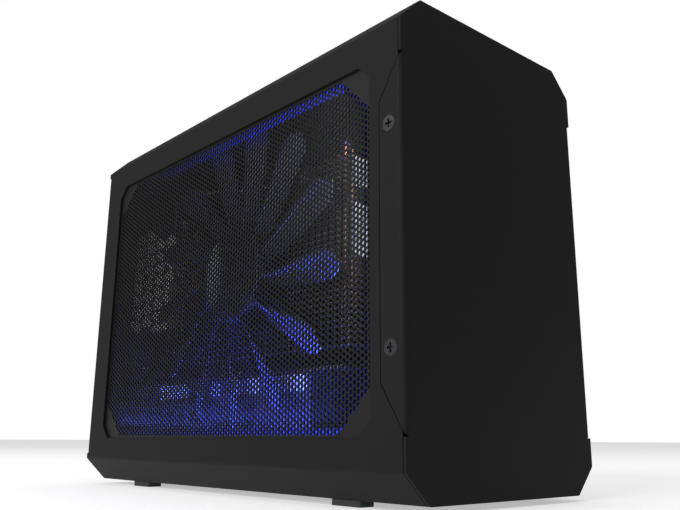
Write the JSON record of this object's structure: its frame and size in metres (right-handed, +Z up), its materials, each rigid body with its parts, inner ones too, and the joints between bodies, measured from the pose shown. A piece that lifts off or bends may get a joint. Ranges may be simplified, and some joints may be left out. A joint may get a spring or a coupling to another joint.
{
  "type": "external graphics card enclosure",
  "caption": "Upright folded-steel box with cut long edges and a perforated, edge-lit side window showing a graphics card with an open fan and a flat power supply.",
  "frame": {"origin": "on the floor under the middle of the case, at the middle of the box round the whole enclosure", "axes": "+Z up, the front cover faces -Y, the perforated window faces -X and the ports face +Y"},
  "size_m": [0.096, 0.212, 0.164],
  "materials": {
    "powder_coat": "fine-texture black powder coat",
    "mesh_coat": "semi-gloss black coat on perforated steel",
    "light_guide": "clear plastic lit blue from its edge",
    "led_strip": "white board with blue lamps",
    "foot_rubber": "matt",
    "black_screws": "black zinc, semi-gloss",
    "zinc_steel": "zinc plated",
    "bright_screws": "nickel plated",
    "circuit_board": "black solder mask",
    "backplate": "satin black with brushed grain",
    "chip_green": "laminate with a bare die",
    "chip_black": "matt moulded",
    "choke_grey": "sintered",
    "capacitor_can": "bare can",
    "copper": "bare copper, lightly oxidised",
    "fin_aluminium": "bare stamped fins",
    "heatsink_aluminium": "extruded",
    "black_plastic": "moulded",
    "motor_winding": "enamelled copper wire",
    "blade_plastic": "smoked, lets the blue light in at its edges",
    "shaft_steel": "ground",
    "connector_shell": "tin plated",
    "tongue_blue": "moulded",
    "lead_black": "insulated wires",
    "latch_plastic": "moulded",
    "brass_post": "turned",
    "psu_steel": "galvanised sheet",
    "psu_board": "tan laminate",
    "transformer_tape": "yellow tape",
    "coil_copper": "wound enamelled wire",
    "capacitor_sleeve": "shrink sleeve",
    "guard_wire": "plated",
    "inlet_pins": "nickel on brass"
  },
  "bodies": {
    "enclosure": {"front_cover": "powder_coat", "wrap_cover": "powder_coat", "base_tray": "powder_coat", "rear_panel": "powder_coat", "front_frame": "powder_coat", "window_mesh": "mesh_coat", "light_guide": "light_guide", "led_strip": "led_strip", "feet": "foot_rubber", "tab_screws": "black_screws", "rear_screws": "black_screws", "base_screws": "black_screws", "chassis": "zinc_steel", "gpu_board": "circuit_board", "gpu_backplate": "backplate", "gpu_bracket": "zinc_steel", "bracket_screws": "bright_screws", "processor_chip": "chip_green", "memory_chips": "chip_black", "power_chokes": "choke_grey", "board_capacitors": "capacitor_can", "cold_plate": "copper", "fin_stack": "fin_aluminium", "heat_pipes": "copper", "fan_frame": "black_plastic", "fan_motor": "motor_winding", "fan_screws": "bright_screws", "dvi_port": "connector_shell", "display_ports": "connector_shell", "power_socket": "black_plastic", "power_plug": "black_plastic", "power_lead": "lead_black", "riser_board": "circuit_board", "pcie_slot": "black_plastic", "main_board": "circuit_board", "board_standoffs": "brass_post", "controller_heatsink": "heatsink_aluminium", "link_connector": "black_plastic", "usb_ports": "connector_shell", "usb_tongues": "tongue_blue", "type_c_port": "connector_shell", "psu_case": "psu_steel", "psu_lid": "psu_steel", "psu_board": "psu_board", "psu_transformer": "transformer_tape", "psu_coils": "coil_copper", "psu_capacitors": "capacitor_sleeve", "psu_fan_frame": "black_plastic", "psu_fan_guard": "guard_wire", "ac_inlet": "black_plastic", "inlet_pins": "inlet_pins"},
    "card_fan": {"fan_rotor": "blade_plastic", "fan_shaft": "shaft_steel"},
    "supply_fan": {"psu_fan_rotor": "black_plastic"},
    "card_latch": {"slot_latch": "latch_plastic"}
  },
  "joints": [
    {"name": "card_fan_spin", "type": "hinge", "parent": "enclosure", "child": "card_fan", "pos_m": [-0.04, -0.004, 0.086], "axis": [1, 0, 0], "continuous": true},
    {"name": "supply_fan_spin", "type": "hinge", "parent": "enclosure", "child": "supply_fan", "pos_m": [-0.0129, 0.093, 0.02415], "axis": [0, 1, 0], "continuous": true},
    {"name": "latch_tip", "type": "hinge", "parent": "enclosure", "child": "card_latch", "pos_m": [0.0028, -0.0463, 0.05245], "axis": [1, 0, 0], "range_deg": [0, 20]}
  ]
}
